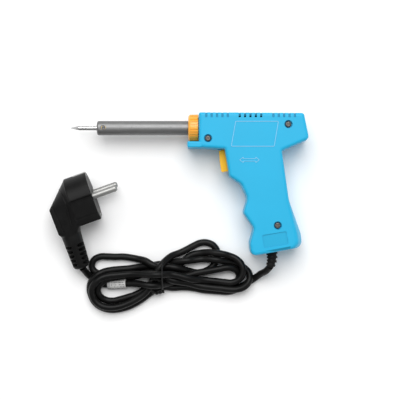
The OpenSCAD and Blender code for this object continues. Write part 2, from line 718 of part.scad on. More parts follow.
// Where slice k of the relief stands, past the end of the grip: [s, t, angle]
function relief_at(k) = let (a = relief_bend * k / relief_cuts,
    r = relief_out / (relief_bend * PI / 180)) [-r * (1 - cos(a)), r * sin(a), a];
module strain_relief() {
    slice = relief_out / relief_cuts;
    relief_inner = -wall - draft - relief_flange_t - relief_sleeve;
    color(black) place() in_grip(relief_s, grip_len) {
        difference() {
            union() {
                rotate([90, 0, 0]) translate([0, 0, -wall - draft - relief_flange_t])
                    cylinder(h = wall + draft + relief_flange_t, r = relief_neck_r);
                rotate([90, 0, 0]) translate([0, 0, -wall - draft - relief_flange_t])
                    cylinder(h = relief_flange_t, r = relief_flange_r);
                rotate([90, 0, 0]) translate([0, 0, relief_inner])
                    cylinder(h = relief_sleeve + 0.1, r = relief_neck_r + 0.4);
                for (k = [0:relief_cuts - 1]) let (p = relief_at(k), f = k / (relief_cuts - 1),
                    r = relief_root_r + (relief_tip_r - relief_root_r) * f - (k % 2) * 0.75)
                    translate([p[0], -p[1] + 0.02, 0]) rotate([0, 0, -p[2]]) rotate([90, 0, 0])
                        cylinder(h = slice + 0.12, r = r);
            }
            rotate([90, 0, 0]) translate([0, 0, relief_inner - 1])
                cylinder(h = relief_sleeve + 1, r = cord_r + 0.02);
        }
    }
}

// ---- The lead: hand-set points, heights above the surface ----
run_gun = [[54.2, -105.1, 14.8], [52.5, -107.6, 12.6], [49, -109.6, 9], [45, -111.8, 5.4], [41, -114.4, 3]];
run_plug = [[-88.6, -106.4, 9.6], [-86.6, -109.6, 6.6], [-82.6, -114.2, 3.4], [-80, -116, 3]];
hank_h = 18;
hank_corners = [corner([-82.2, -104.5], 8), corner([-78, -97.4], 8), corner([-62, -94.8], 16),
    corner([-31, -101.4], 8), corner([-22, -99.4], 8), corner([2, -84.6], 8),
    corner([12.5, -86.8], 6), corner([16, -93.4], 4), corner([31, -97], 12),
    corner([42, -107.5], 8), corner([42, -119], 8), corner([24, -125.8], 20),
    corner([0, -125.4], 16), corner([-20, -121], 8), corner([-38, -128], 12),
    corner([-60, -139.6], 12), corner([-76, -137], 12), corner([-84, -124], 10),
    corner([-83.4, -112], 8)];
module cord_run_gun() {
    color(black) on_table() tube(smooth(run_gun, 3), cord_r);
}
module cord_hank() {
    color(black) on_table() linear_extrude(hank_h) polygon(outline(hank_corners));
}
module cord_run_plug() {
    color(black) on_table() tube(smooth(run_plug, 3), cord_r);
}
// Wire tie: one ring round the waist of the hank, then its twisted end
tie_x = -27.6;
tie_wire_r = 0.75;
module cord_tie() {
    reach = 10.3;
    ring = [for (k = [0:20]) let (a = 250 + 360 * k / 20)
        [tie_x + k * 0.12, -111 + reach * cos(a), 9.9 + 9.1 * sin(a)]];
    tail = [[tie_x + 1, -121.5, 3], [tie_x - 3, -124, 1], [tie_x - 6.5, -122.6, 1],
        [tie_x - 8.6, -119, 2.5]];
    color(black) on_table() tube(concat(ring, smooth(tail, 3)), tie_wire_r, 6, [1, 0, 0.1]);
}
module cord_label() {
    color("white") on_table() translate([-61.6, -118.8, 3.9]) rotate([0, 0, 5.5]) rotate([0, 90, 0])
        difference() {
            cylinder(h = 15.2, r = 3.8, center = true);
            cylinder(h = 16, r = cord_r + 0.05, center = true);
        }
}

// ---- Mains plug: in its own axes X is where the pins point and the lead's arm runs to -Y ----
plug_at = [-79.4, -50.3];
plug_turn = 19.7;
plug_tilt = 9;
plug_face_r = plug_face_d / 2;
plug_disc = 17.5;
plug_deep = 34.8;
arm_x = -26.3;
arm_r = 7.8;
arm_tip_r = 6.5;
arm_lean = 2.1;
arm_end = -50;
pin_gap = 19;
pin_socket = 8;
pin_root_r = 2;
module plug_place() {
    on_table() translate([plug_at[0], plug_at[1], plug_face_r])
        rotate([0, 0, plug_turn]) rotate([plug_tilt, 0, 0]) children();
}
// Outline of the face: y across, z up; round above the guides, narrower below them
function plug_outline(r) = let (guide = 2.8, side = r - 2.4, a = asin(guide / r))
    concat([for (k = [0:24]) let (b = a + (180 - 2 * a) * k / 24) [r * sin(b), r * cos(b)]],
        [[guide, -side], [-11.6, -side], [-r, -9], [-r, 9], [-11.6, side], [guide, side]]);
// Places children on the arm's axis, which leans a little away from the face
module in_arm() {
    translate([arm_x, -20, 0]) rotate([0, 0, -arm_lean]) translate([0, 20, 0]) children();
}
module plug_body() {
    color(black) plug_place() difference() {
        union() {
            rotate([90, 0, 90]) translate([0, 0, -plug_disc]) linear_extrude(plug_disc)
                polygon(plug_outline(plug_face_r));
            hull() {
                rotate([90, 0, 90]) translate([0, 0, -plug_disc]) linear_extrude(0.1)
                    polygon(plug_outline(plug_face_r - 0.6));
                for (y = [0, -19]) translate([-plug_deep + 1.5, y, 0])
                    cylinder(h = 13, r = 1.5, center = true, $fn = 16);
                translate([arm_x, -22, 0]) rotate([90, 0, 0]) cylinder(h = 0.5, r = arm_r, $fn = 32);
            }
            in_arm() rotate([90, 0, 0]) rotate_extrude() polygon(concat(
                [[0, 14], [arm_r, 14], [arm_r, 20], [arm_tip_r, -arm_end - 3]],
                arc([arm_tip_r - 3, -arm_end - 3], 3, 0, 90, 6), [[0, -arm_end]]));
        }
        for (k = [0:4], side = [-1, 1], up = [-1, 1]) in_arm() translate([side * 5.1,
            -31.8 - 3.5 * k, up * 5.2]) cube([6, 2, 7.4], center = true);
        for (side = [-1, 1]) translate([0, 0, side * pin_gap / 2])
            rod_x(-pin_socket, 1, pin_root_r + 0.01);
        for (side = [-1, 1]) translate([-5, side * (plug_face_r - 0.2), 0])
            cube([10.4, 1.2, 5.2], center = true);
        for (side = [-1, 1]) translate([0, side * (plug_face_r - 1.6), 0])
            cube([1.3, 4, 5.2], center = true);
    }
}
module plug_pins() {
    r = plug_pin_d / 2;
    color([0.8, 0.8, 0.8]) plug_place() for (side = [-1, 1]) translate([0, 0, side * pin_gap / 2])
        turned(concat([[0, -pin_socket], [pin_root_r, -pin_socket], [pin_root_r, 0], [r, 0]],
            arc([r - 1.6, plug_pin_len - 1.6], 1.6, 0, 90, 6), [[0, plug_pin_len]]));
}
module plug_earth_clips() {
    color([0.8, 0.8, 0.8]) plug_place() for (side = [-1, 1]) mirror([0, side < 0 ? 1 : 0, 0])
        translate([0, 0, -2.3]) linear_extrude(4.6) polygon([[-10, plug_face_r - 0.7],
            [-0.6, plug_face_r - 0.7], [-0.6, plug_face_r - 3.4], [0, plug_face_r - 3.4],
            [0, plug_face_r - 0.4], [-0.6, plug_face_r], [-10, plug_face_r - 0.1]]);
}

shell_front();
shell_back();
shell_screws();
collar_nut();
collar_washer();
barrel_tube();
barrel_flange();
bit();
bit_bush();
bit_clamp_screw();
heater_core();
heater_winding();
heater_sleeve();
heater_bead();
heater_leads();
trigger();
trigger_pin();
trigger_spring();
switch_body();
switch_plunger();
switch_terminals();
diode();
terminal_block();
terminal_screws();
supply_wires();
earth_wire();
earth_ring();
cord_tail();
cord_clamp();
clamp_screws();
strain_relief();
cord_run_gun();
cord_hank();
cord_run_plug();
cord_tie();
cord_label();
plug_body();
plug_pins();
plug_earth_clips();
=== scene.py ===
import math

import bmesh
import bpy
import numpy as np
from bpy.props import FloatProperty, FloatVectorProperty, PointerProperty
from mathutils import Matrix, Vector


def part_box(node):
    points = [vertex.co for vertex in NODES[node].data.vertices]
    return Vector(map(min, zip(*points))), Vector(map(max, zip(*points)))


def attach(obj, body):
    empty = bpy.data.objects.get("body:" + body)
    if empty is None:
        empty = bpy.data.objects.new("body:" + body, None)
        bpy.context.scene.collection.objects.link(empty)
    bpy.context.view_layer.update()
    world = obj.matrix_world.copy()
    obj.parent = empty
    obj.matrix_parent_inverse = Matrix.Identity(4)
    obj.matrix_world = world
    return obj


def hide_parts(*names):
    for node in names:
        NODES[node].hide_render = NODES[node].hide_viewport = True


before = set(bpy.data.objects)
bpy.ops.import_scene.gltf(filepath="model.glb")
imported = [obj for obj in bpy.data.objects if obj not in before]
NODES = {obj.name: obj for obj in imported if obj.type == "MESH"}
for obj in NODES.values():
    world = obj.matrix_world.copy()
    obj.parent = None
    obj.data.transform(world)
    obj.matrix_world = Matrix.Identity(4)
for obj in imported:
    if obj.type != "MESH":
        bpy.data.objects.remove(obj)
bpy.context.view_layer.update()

bl_info = {
    "name": "Pistol soldering iron",
    "version": (1, 0, 0),
    "blender": (4, 5, 0),
    "location": "View3D > Sidebar > Soldering iron",
    "description": "Dresses a soldering iron, its lead and its plug round their CAD model",
    "category": "Object",
}

MM = 0.001
# The barrel's axis and the head's front face are the origin of the lead's points
BARREL_LOW, BARREL_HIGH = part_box("barrel_tube")
AXIS_Y = (BARREL_LOW.y + BARREL_HIGH.y) / 2
# From the bit's point to the head's front
BIT_REACH = 96.9 * MM
FRONT_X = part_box("bit")[0].x + BIT_REACH


def spot(x, y, z):
    """A point in millimetres: back from the head's front, up from the barrel, above the floor."""
    return Vector((FRONT_X + x * MM, AXIS_Y + y * MM, z * MM))


# ---- Shader building -------------------------------------------------------------------------


class Wire:
    """One output socket. Arithmetic on it adds Math nodes."""

    def __init__(self, board, socket):
        self.board = board
        self.socket = socket

    def math(self, operation, *values, clamp=False):
        return self.board.add("ShaderNodeMath", {"operation": operation, "use_clamp": clamp},
                              dict(enumerate((self,) + values)))

    def __add__(self, other):
        return self.math("ADD", other)

    __radd__ = __add__

    def __mul__(self, other):
        return self.math("MULTIPLY", other)

    __rmul__ = __mul__

    def __sub__(self, other):
        return self.math("SUBTRACT", other)

    def __rsub__(self, other):
        return self.board.add("ShaderNodeMath", {"operation": "SUBTRACT"}, {0: other, 1: self})

    def __truediv__(self, other):
        return self.math("DIVIDE", other)

    def clamped(self):
        return self.math("ADD", 0.0, clamp=True)

    def step(self, low, high):
        """0 below low, 1 above high, smooth between."""
        return self.board.add("ShaderNodeMapRange", {"interpolation_type": "SMOOTHSTEP"},
                              {"Value": self, "From Min": low, "From Max": high})

    def edge(self, at, blur):
        """0 below a place given in millimetres, 1 above it, blurred over a width."""
        return self.step((at - blur / 2) * MM, (at + blur / 2) * MM)

    def between(self, low, high, blur):
        return self.edge(low, blur) * (1 - self.edge(high, blur))


class Board:
    """A material and the nodes behind its Principled shader."""

    def __init__(self, name, base, rough, metallic=0.0, **sockets):
        self.material = bpy.data.materials.new(name)
        self.material.use_nodes = True
        self.material.diffuse_color = (*base, 1)
        self.tree = self.material.node_tree
        self.shader = next(n for n in self.tree.nodes if n.type == "BSDF_PRINCIPLED")
        for key, value in {"Base Color": (*base, 1), "Roughness": rough, "Metallic": metallic,
                           **sockets}.items():
            self.shader.inputs[key].default_value = value
        place = self.tree.nodes.new("ShaderNodeTexCoord")
        self.place = Wire(self, place.outputs["Object"])

    def add(self, kind, settings=None, inputs=None, output=0):
        node = self.tree.nodes.new(kind)
        for key, value in (settings or {}).items():
            setattr(node, key, value)
        for key, value in (inputs or {}).items():
            if isinstance(value, Wire):
                self.tree.links.new(value.socket, node.inputs[key])
            else:
                node.inputs[key].default_value = value
        return Wire(self, node.outputs[output])

    def to(self, socket, wire):
        self.tree.links.new(wire.socket, self.shader.inputs[socket])

    def stretched(self, x, y, z):
        return self.add("ShaderNodeVectorMath", {"operation": "MULTIPLY"},
                        {0: self.place, 1: (x, y, z)})

    def noise(self, scale, detail=3.0, rough=0.55, place=None):
        return self.add("ShaderNodeTexNoise", None, {
            "Vector": place or self.place, "Scale": scale, "Detail": detail, "Roughness": rough})

    def axis(self, letter):
        return self.add("ShaderNodeSeparateXYZ", None, {"Vector": self.place}, "XYZ".index(letter))

    def mix(self, factor, a, b):
        return self.add("ShaderNodeMix", {"data_type": "RGBA"}, {0: factor, 6: a, 7: b}, 2)

    def bump(self, height, distance):
        self.to("Normal", self.add("ShaderNodeBump", None, {
            "Height": height, "Distance": distance}))


def rgba(colour, gain=1.0):
    return (*[min(1.0, c * gain) for c in colour], 1.0)


SCRATCHES_ACROSS, SCRATCHES_ALONG = 900.0, 45.0


def scratches(board, along, seed):
    """Thin light lines: noise pulled out along one direction."""
    stretch = [SCRATCHES_ACROSS] * 3
    stretch[along] = SCRATCHES_ALONG
    lines = board.noise(1.0, 2.0, 0.6, board.add("ShaderNodeVectorMath", {"operation": "ADD"}, {
        0: board.stretched(*stretch), 1: (seed, seed * 2, seed * 3)}))
    return lines.step(0.70, 0.76)


# The blind cooling slots: how far above the barrel's axis they lie, and how deep they are cut
SLOTS_UP = (7.1, 10.2)
SLOTS_FLOOR = 28.75
# The panel sunk into the foot of the grip: back from the head's front, up, and its floor
PANEL_BACK = (45.55, 68.55)
PANEL_UP = (-92.45, -76.45)
PANEL_FLOOR = 29.43
# The casing's flat side is below this, and the raised marks above
SIDE_TOP = 29.97
MARKS_FOOT = 30.13


def casing_shade_and_marks(board, tone, base, pale, speck):
    """Paints shade into the blind slots and the sunk panel, and pales the raised marks."""
    back = board.axis("X") - FRONT_X
    up = board.axis("Y") - AXIS_Y
    height = board.axis("Z")
    # Painted shade: the floors of the blind slots are darkened to 0.7 of the casing blue, as if
    # the light were blocked there
    slots = up.between(*SLOTS_UP, 0.2) * (1 - height.edge(SLOTS_FLOOR, 0.3))
    tone = board.mix(slots, tone, rgba(base, 0.7))
    # Painted shade: the sunk panel's floor is a little darker and its walls darker still, as shade
    # in the recess
    panel = back.between(*PANEL_BACK, 0.1) * up.between(*PANEL_UP, 0.1)
    sunk = panel * (1 - height.edge(SIDE_TOP, 0.02))
    panel_wall_shade = height.edge(PANEL_FLOOR, 0.02)
    tone = board.mix(sunk * (0.12 + panel_wall_shade * 0.5), tone, rgba(base, 0.3))
    worn = height.edge(MARKS_FOOT, 0.1) * (0.75 + speck * 0.3)
    return board.mix(worn.clamped(), tone, rgba(pale))


def moulded(name, base, rough=0.3, grain=0.5, mottle=0.05, pale=None, **sockets):
    """Injection-moulded plastic: even colour, handling marks, fine spark-eroded texture."""
    board = Board(name, base, rough, **sockets)
    cloud = board.noise(38.0, 4.0)
    speck = board.noise(2600.0, 2.0)
    rubbed = scratches(board, 0, 3.1) * 0.5 + scratches(board, 1, 7.7) * 0.5
    tone = board.mix((cloud - 0.3) * 1.6, rgba(base, 1 - mottle), rgba(base, 1 + mottle))
    tone = board.mix(rubbed * 0.10, tone, rgba([min(1, c * 1.1 + 0.08) for c in base]))
    # With pale given, painted shade goes into the casing's blind slots and sunk panel, and its
    # raised marks are paled
    if pale:
        tone = casing_shade_and_marks(board, tone, base, pale, speck)
    board.to("Base Color", tone)
    board.to("Roughness", rough + (cloud - 0.5) * 0.14 + (speck - 0.5) * 0.06 + rubbed * 0.12)
    board.bump(speck * grain + board.noise(500.0, 3.0) * grain * 0.6 - rubbed * 0.4, 0.00004)
    return board.material


def metal(name, base, rough, stretch):
    """Worked metal: fine lines along one direction, dull patches, small spots of tarnish."""
    board = Board(name, base, rough, 1.0)
    lines = board.noise(1.0, 3.0, 0.6, board.stretched(*stretch))
    cloud = board.noise(120.0, 4.0)
    spots = board.noise(900.0, 3.0).step(0.62, 0.72)
    tone = board.mix(cloud, rgba(base, 0.88), rgba(base, 1.12))
    tone = board.mix(spots * 0.35, tone, rgba(base, 0.55))
    board.to("Base Color", tone)
    board.to("Roughness", rough + (lines - 0.5) * 0.22 + (cloud - 0.5) * 0.18 + spots * 0.1)
    board.bump(lines * 0.7 + board.noise(1500.0) * 0.3, 0.00003)
    return board.material


RUBBER_SHEEN = 0.14
DUST = (0.05, 0.05, 0.048, 1)


def rubber(name, base, rough, dust, grain=900.0):
    """Soft plastic: a dull skin with dust in patches and a slight ripple."""
    board = Board(name, base, rough, **{"Specular IOR Level": RUBBER_SHEEN})
    cloud = board.noise(70.0, 5.0, 0.65)
    fine = board.noise(grain, 3.0)
    dusty = (cloud.step(0.45, 0.8) * fine * dust).clamped()
    board.to("Base Color", board.mix(dusty, rgba(base), DUST))
    board.to("Roughness", rough + (cloud - 0.5) * 0.2 + dusty * 0.3)
    board.bump(fine * 0.6 + board.noise(240.0) * 0.4, 0.00005)
    return board.material


def fired(name, base, rough, pores=1400.0):
    """Ceramic, mica and other dry matt stuff."""
    board = Board(name, base, rough)
    pits = board.noise(pores, 4.0, 0.7)
    stain = board.noise(90.0, 3.0).step(0.5, 0.8)
    board.to("Base Color", board.mix(stain * 0.35, rgba(base), rgba(base, 0.72)))
    board.to("Roughness", rough + (pits - 0.5) * 0.2)
    board.bump(pits, 0.00005)
    return board.material


INK = (0.05, 0.05, 0.06, 1)
# Millimetres along the sleeve from its middle
PRINT_FROM, PRINT_TO = -4.4, 6.2
RINGS_FROM, RINGS_TO = -7.1, -4.55
ROWS_PER_MM, RINGS_PER_MM = 0.62, 1.15


def printed_sleeve(name, base):
    """White sleeve with rows of worn grey print that spell nothing, and rings at one end."""
    board = Board(name, base, 0.5)
    along = board.axis("X") / MM
    cross = board.axis("Y") / MM
    cloud = board.noise(300.0, 3.0)
    row = ((cross * ROWS_PER_MM + 0.5).math("FRACT") - 0.5).math("ABSOLUTE")
    letters = board.noise(1.0, 1.0, 0.5, board.stretched(1500.0, 620.0, 400.0))
    rows = (1 - row.step(0.16, 0.3)) * letters.step(0.42, 0.5)
    body = along.step(PRINT_FROM - 0.2, PRINT_FROM + 0.2)
    body = body * (1 - along.step(PRINT_TO - 0.2, PRINT_TO + 0.2))
    ring = ((along * RINGS_PER_MM).math("FRACT") - 0.5).math("ABSOLUTE").step(0.24, 0.34)
    rings = ring * (1 - along.step(RINGS_TO - 0.15, RINGS_TO + 0.15))
    rings = rings * along.step(RINGS_FROM - 0.1, RINGS_FROM + 0.1)
    ink = (rows * body * 0.85 + rings) * (0.6 + cloud * 0.6)
    board.to("Base Color", board.mix(ink.clamped(), rgba(base), INK))
    board.to("Roughness", 0.45 + cloud * 0.15)
    board.bump(cloud * 0.6 - ink * 0.2, 0.00005)
    return board.material


# ---- Mesh building ---------------------------------------------------------------------------


WELD_METRES = 0.000001


def mesh_object(name, verts, faces, material):
    mesh = bpy.data.meshes.new(name)
    mesh.from_pydata([tuple(v) for v in verts], [], faces)
    return finished(bpy.data.objects.new(name, mesh), material)


def finished(obj, material, smooth=40):
    """Links a new piece, welds it, shades it smooth below an angle and gives its material."""
    if not obj.users_collection:
        bpy.context.scene.collection.objects.link(obj)
    work = bmesh.new()
    work.from_mesh(obj.data)
    bmesh.ops.remove_doubles(work, verts=work.verts, dist=WELD_METRES)
    bmesh.ops.recalc_face_normals(work, faces=work.faces)
    for face in work.faces:
        face.smooth = True
    for edge in work.edges:
        edge.smooth = edge.calc_face_angle(0) < math.radians(smooth)
    work.to_mesh(obj.data)
    work.free()
    obj.data.materials.clear()
    obj.data.materials.append(material)
    return obj


def ease(node, material, width, angle=30):
    """Gives a CAD solid its material and eases its sharp corners by a width in millimetres."""
    obj = NODES[node]
    obj.data.materials.clear()
    obj.data.materials.append(material)
    weld = obj.modifiers.new("weld", "WELD")
    weld.merge_threshold = 2 * WELD_METRES
    if width:
        bevel = obj.modifiers.new("bevel", "BEVEL")
        bevel.width = width * MM
        bevel.segments = 2
        bevel.limit_method = "ANGLE"
        bevel.angle_limit = math.radians(angle)
        bevel.miter_outer = "MITER_ARC"
        bevel.use_clamp_overlap = True
        bevel.harden_normals = False
    normals = obj.modifiers.new("normals", "WEIGHTED_NORMAL")
    normals.keep_sharp = True
    normals.weight = 60
    return obj


def swept(points, radius, sides, name, material, closed=False):
    """A round tube along points, with frames carried along so that it doesn't twist."""
    points = np.asarray(points, float)
    count = len(points)
    if closed:
        tangents = np.roll(points, -1, 0) - np.roll(points, 1, 0)
    else:
        tangents = np.gradient(points, axis=0)
    tangents /= np.linalg.norm(tangents, axis=1)[:, None]
    side = np.cross(tangents[0], [0.3, 0.2, 1.0])
    verts = []
    for point, tangent in zip(points, tangents):
        side = side - tangent * side.dot(tangent)
        side /= np.linalg.norm(side)
        other = np.cross(tangent, side)
        for k in range(sides):
            a = 2 * math.pi * k / sides
            verts.append(point + radius * (math.cos(a) * side + math.sin(a) * other))
    faces = []
    for i in range(count if closed else count - 1):
        j = (i + 1) % count
        for k in range(sides):
            m = (k + 1) % sides
            faces.append((i * sides + k, i * sides + m, j * sides + m, j * sides + k))
    if not closed:
        faces.append(tuple(range(sides - 1, -1, -1)))
        faces.append(tuple((count - 1) * sides + k for k in range(sides)))
    return mesh_object(name, verts, faces, material)


def curve_through(points, per):
    """Catmull-Rom curve through points, cut into `per` steps between each two."""
    points = np.asarray(points, float)
    out = []
    for i in range(len(points) - 1):
        a, b, c, d = (points[max(i - 1, 0)], points[i], points[i + 1],
                      points[min(i + 2, len(points) - 1)])
        for k in range(per):
            t = k / per
            out.append(0.5 * (2 * b + (c - a) * t + (2 * a - 5 * b + 4 * c - d) * t * t
                              + (3 * b - a - 3 * c + d) * t ** 3))
    out.append(points[-1])
    return np.array(out)


def evenly(points, step):
    """Points at equal steps along a line of points."""
    lengths = np.linalg.norm(np.diff(points, axis=0), axis=1)
    travelled = np.concatenate([[0], np.cumsum(lengths)])
    marks = np.linspace(0, travelled[-1], int(round(travelled[-1] / step)) + 1)
    return np.array([np.interp(marks, travelled, points[:, k]) for k in range(3)]).T


# ---- The lead --------------------------------------------------------------------------------

# Every point and length of the lead is in millimetres
LEAD_D = 5.2
# The waist of the hank, where the tie holds nine passes: across and height of each
WAIST_X = -27.6
WAIST = [(-119.8, 2.6), (-104.8, 2.6), (-112.8, 7.1), (-115, 2.6), (-110, 11.7), (-102.3, 7.3),
         (-107.4, 7.1), (-110.1, 2.6), (-117.6, 7.1)]
# Between two passes the lead makes one loop, to the right and to the left of the waist by turns
LOOPS = [
    # From the iron to the first pass
    [(54.2, -105.1, 14.8), (52.5, -107.6, 12.6), (49, -109.6, 9), (45, -111.8, 5.4),
     (41, -114.4, 3), (34, -118.6, 2.6), (24.6, -122, 2.6), (5, -124, 2.6),
     (-9.5, -120, 2.6), (-19, -118.4, 2.6)],
    # Left, the outermost strand
    [(-36, -125, 2.6), (-43.4, -130, 2.6), (-54, -135.8, 2.6), (-66, -138.4, 2.6),
     (-75.2, -136.4, 2.6), (-81.6, -130, 2.6), (-83.2, -121.5, 4.5), (-81.4, -114.4, 7.4),
     (-72.5, -110, 7.8), (-60, -108.4, 7.8), (-49, -108, 7), (-38, -106.4, 4)],
    # Right, out to the tip
    [(-18, -103.4, 2.6), (-8, -101, 3.4), (3.3, -99, 6.5), (14, -98.8, 7.8), (24, -101.6, 5.5),
     (30, -106.8, 3.2), (36.4, -110.6, 3.4), (41.4, -114, 5), (40, -117.6, 7),
     (34.6, -119.6, 8), (27.7, -121, 8.2), (7.2, -120.4, 7.8), (-9.5, -116.6, 7.6)],
    # Left, inside the first
    [(-40, -109.4, 6), (-50, -112, 4), (-62, -113.6, 3), (-70, -115.2, 4.5), (-76.4, -119.4, 7.8),
     (-78.6, -126, 7.8), (-72.6, -129.8, 5), (-64, -131, 2.6), (-53, -128.8, 2.6),
     (-43, -125.6, 2.6), (-36, -120.6, 2.6)],
    # Right, inside the tip
    [(-18, -105.6, 2.6), (-8.6, -98.4, 2.8), (3.3, -95.2, 6.5), (15.4, -96, 8), (26, -100, 8),
     (33.4, -104, 8.4), (34.6, -110.6, 8.6), (31, -115.8, 9), (24, -118.6, 8.5),
     (12.5, -118.2, 8.2), (-6.4, -113.6, 10)],
    # Left, on top of the two others
    [(-38, -111.4, 12.4), (-50, -110.6, 12.4), (-62, -111, 12.6), (-73, -113.6, 12.4),
     (-80.8, -119.4, 10.4), (-81.6, -127.4, 8.2), (-75.6, -134.6, 7.8), (-65, -137.4, 7.8),
     (-53, -134, 7.8), (-43, -128, 7.8), (-35.6, -119, 7.8)],
    # Right, the high loop that comes back under the others
    [(-20, -99.8, 7), (-10, -93.2, 4), (-1, -89, 2.6), (6, -87.8, 2.6), (12.4, -89.2, 2.6),
     (15.2, -94, 2.6), (13.6, -100.5, 2.6), (9.2, -106, 3.6), (3, -110, 5),
     (-5, -112, 7), (-15, -110.4, 8)],
    # Left, the upper loop, then back under the bundle
    [(-37, -104.4, 6.4), (-47, -100.4, 4), (-59, -97.6, 2.6), (-71, -100.4, 2.6),
     (-81, -102.6, 2.6), (-84.4, -105.8, 2.6), (-80.4, -109.4, 2.6), (-71, -109.6, 2.6),
     (-60, -109.2, 2.6), (-48, -109.2, 2.6), (-38, -110.2, 2.6)],
    # Right, a short loop inside
    [(-19, -110.8, 5), (-9, -112, 9), (-0.5, -110.6, 10.5), (6.3, -108.8, 11.4),
     (16.4, -107.8, 10.4), (26, -109, 7), (32.4, -112.6, 4.4), (31, -118, 4),
     (22, -119, 3), (6, -119, 3), (-9, -117.6, 5)],
    # From the last pass through the label to the plug
    [(-36, -117.6, 8), (-44, -117.4, 8.6), (-54, -118, 8), (-61.7, -118.8, 6.5),
     (-69.3, -119.6, 3.5), (-76, -118.4, 2.6), (-82.6, -114.2, 3.4), (-86.6, -109.6, 6.6),
     (-88.6, -106.4, 9.6)],
]
LABEL_MID = (-61.2, -118.8)
# The label is among this many last points of the settled lead
LABEL_SEARCH = 30
LABEL_CLEARANCE = 0.00004

# How the lead settles
ROUNDS = 260
POINT_STEP = 3.0
TIGHTEST_BEND = 14.0
STRAND_GAP = 0.1
WEIGHT = 0.02
STIFFNESS = 0.04
# Shares taken out of the way back to the route, sideways and in height, in each round
HOME_SHARE, LIFT_SHARE = 0.012, 0.004
# Share of a stretch or of an overlap taken out at a time
GIVE = 0.4
# Points nearer than this along the lead, in diameters, don't push each other
NEIGHBOURS = 1.6


def lead_route():
    """Every point of the lead from the iron to the plug, in millimetres."""
    route = list(LOOPS[0])
    for waist, loop in zip(WAIST, LOOPS[1:]):
        route += [(WAIST_X, *waist)] + loop
    return np.array(route, float)


def settle(route):
    """Lays the lead down: strands push each other apart, rest on the floor and bend gently."""
    step = POINT_STEP
    rest = evenly(curve_through(route, 8), step)
    pts = rest.copy()
    count = len(pts)
    index = np.arange(count)
    near = np.abs(index[:, None] - index[None, :]) <= math.ceil(LEAD_D * NEIGHBOURS / step)
    far = np.triu(~near, 1)
    apart = LEAD_D + STRAND_GAP
    sag_limit = step * step / (2 * TIGHTEST_BEND)
    for _ in range(ROUNDS):
        pts[:, :2] += HOME_SHARE * (rest[:, :2] - pts[:, :2])
        pts[:, 2] += LIFT_SHARE * (rest[:, 2] - pts[:, 2]) - WEIGHT
        for _ in range(5):
            pull = 0.5 * (pts[:-2] + pts[2:]) - pts[1:-1]
            size = np.linalg.norm(pull, axis=1)[:, None]
            pull *= STIFFNESS + np.maximum(0, size - sag_limit) / np.maximum(size, 1e-9)
            pts[1:-1] += 0.5 * pull
            pts[:-2] -= 0.25 * pull
            pts[2:] -= 0.25 * pull
        for _ in range(3):
            gap = pts[1:] - pts[:-1]
            length = np.linalg.norm(gap, axis=1)[:, None]
            gap *= GIVE * (length - step) / length
            pts[:-1] += gap
            pts[1:] -= gap
        for _ in range(4):
            between = pts[:, None] - pts[None, :]
            first, second = np.nonzero(far & ((between ** 2).sum(2) < apart ** 2))
            if len(first):
                push = pts[first] - pts[second]
                length = np.linalg.norm(push, axis=1)[:, None] + 1e-6
                push *= GIVE * (apart - length) / length
                share = np.sqrt(np.maximum(1, np.bincount(first, minlength=count)
                                           + np.bincount(second, minlength=count)))[:, None]
                moved = np.zeros_like(pts)
                np.add.at(moved, first, push)
                np.add.at(moved, second, -push)
                pts += moved / share
            pts[:, 2] = np.maximum(pts[:, 2], LEAD_D / 2)
        pts[:2] = rest[:2]
        pts[-2:] = rest[-2:]
    return pts


# Pieces and points that later steps need from earlier ones
STATE = {}


def place_lead(points, diameter):
    """One smooth spline through every second point of the settled lead."""
    every = list(range(0, len(points), 2))
    every[-1] = len(points) - 1
    curve = bpy.data.curves.new("mains_lead", "CURVE")
    curve.dimensions = "3D"
    curve.bevel_depth = diameter / 2
    curve.bevel_resolution = 5
    curve.resolution_u = 6
    curve.use_fill_caps = True
    spline = curve.splines.new("BEZIER")
    spline.bezier_points.add(len(every) - 1)
    for knot, index in zip(spline.bezier_points, every):
        knot.co = spot(*points[index])
        knot.handle_left_type = knot.handle_right_type = "AUTO"
    lead = bpy.data.objects.new("mains_lead", curve)
    bpy.context.scene.collection.objects.link(lead)
    return lead


def waist_outline(points, wire):
    """The tie's ring: the taut line round every strand where they pass the waist."""
    x = points[:, 0]
    hits = []
    for i in range(len(points) - 1):
        if (x[i] - WAIST_X) * (x[i + 1] - WAIST_X) <= 0 and x[i] != x[i + 1]:
            t = (WAIST_X - x[i]) / (x[i + 1] - x[i])
            hits.append(points[i] + t * (points[i + 1] - points[i]))
    reach = LEAD_D / 2 + wire
    rim = [(h[1] + reach * math.cos(a), h[2] + reach * math.sin(a))
           for h in hits for a in np.linspace(0, 2 * math.pi, RIM_POINTS, endpoint=False)]
    rim = sorted(set((round(y, 4), round(max(z, wire), 4)) for y, z in rim))

    def half(side):
        """Half of the taut outline: the points that turn one way only."""
        out = []
        for p in side:
            while len(out) > 1 and ((out[-1][0] - out[-2][0]) * (p[1] - out[-2][1])
                                    - (out[-1][1] - out[-2][1]) * (p[0] - out[-2][0])) <= 0:
                out.pop()
            out.append(p)
        return out[:-1]

    hull = half(rim) + half(rim[::-1])
    hull.append(hull[0])
    return evenly(np.array([(WAIST_X, y, z) for y, z in hull]), RING_STEP)[:-1]


# Steps along the tie's ring and along its twisted end, whose two wires stand a little apart
RIM_POINTS = 24
RING_STEP = 0.9
TAIL_STEP = 0.5
TAIL_TURNS = 5.5
TAIL_SPREAD = 1.02
# The twisted end of the tie, from the waist outwards
TIE_TAIL = [(-27.8, -117, 11), (-31, -115.4, 13), (-35, -114.8, 13), (-37, -118.2, 12.4),
            (-36.8, -122.4, 9.6), (-33.4, -125.8, 7), (-26.6, -124.6, 6.4)]


SLEEVE_SIDES = 40
SLEEVE_STEP = 0.4


